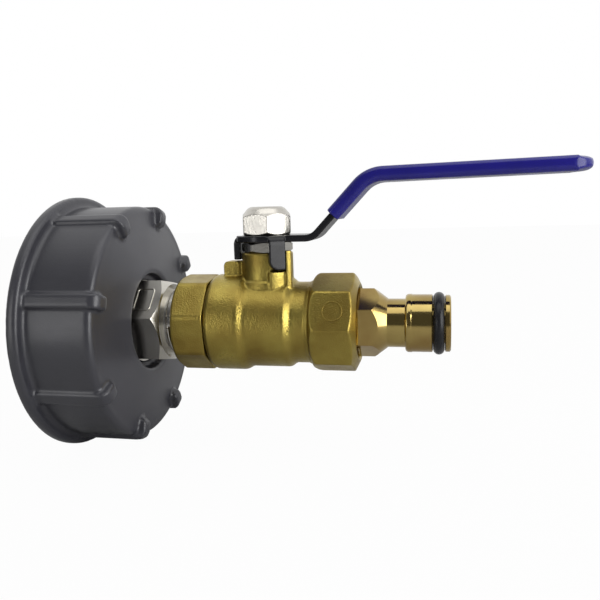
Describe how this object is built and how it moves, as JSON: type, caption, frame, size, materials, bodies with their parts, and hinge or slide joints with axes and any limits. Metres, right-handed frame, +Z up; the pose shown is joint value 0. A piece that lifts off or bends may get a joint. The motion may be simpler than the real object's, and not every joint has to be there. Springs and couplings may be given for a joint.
{
  "type": "tank drain valve",
  "caption": "Coarse-thread tank cap with a lever-operated brass ball valve and a hose spigot with a rubber ring.",
  "frame": {"origin": "centre of the cap's open mouth, on the pipe axis", "axes": "+X along the pipe from the tank to the hose spigot, +Z up along the lever's stem, +Y completes a right-handed set; the picture looks along +Y"},
  "size_m": [0.2342, 0.1194, 0.1294],
  "materials": {
    "black_plastic": "satin",
    "black_rubber": "satin",
    "nickel_plate": "satin",
    "forged_brass": "sandblasted",
    "turned_brass": "polished",
    "white_plastic": "satin",
    "chrome_plate": "polished",
    "zinc_plate": "satin",
    "black_paint": "gloss",
    "blue_vinyl": "gloss",
    "blue_nylon": "satin"
  },
  "bodies": {
    "valve": {"tank_cap": "black_plastic", "cap_gasket": "black_rubber", "hex_insert": "nickel_plate", "retainer": "forged_brass", "retainer_seal": "white_plastic", "inlet_seat": "white_plastic", "outlet_seat": "white_plastic", "valve_body": "forged_brass", "thrust_washer": "white_plastic", "lower_packing": "white_plastic", "upper_packing": "white_plastic", "gland_nut": "nickel_plate", "spigot": "turned_brass", "spigot_o_ring": "black_rubber"},
    "handle": {"stem": "turned_brass", "ball": "chrome_plate", "lever": "black_paint", "lever_sleeve": "blue_vinyl", "lever_nut": "zinc_plate", "nut_locking_ring": "blue_nylon"}
  },
  "joints": [
    {"name": "lever_turn", "type": "hinge", "parent": "valve", "child": "handle", "pos_m": [0.0958, 0, 0], "axis": [0, 0, 1], "range_deg": [-90, 0]}
  ]
}
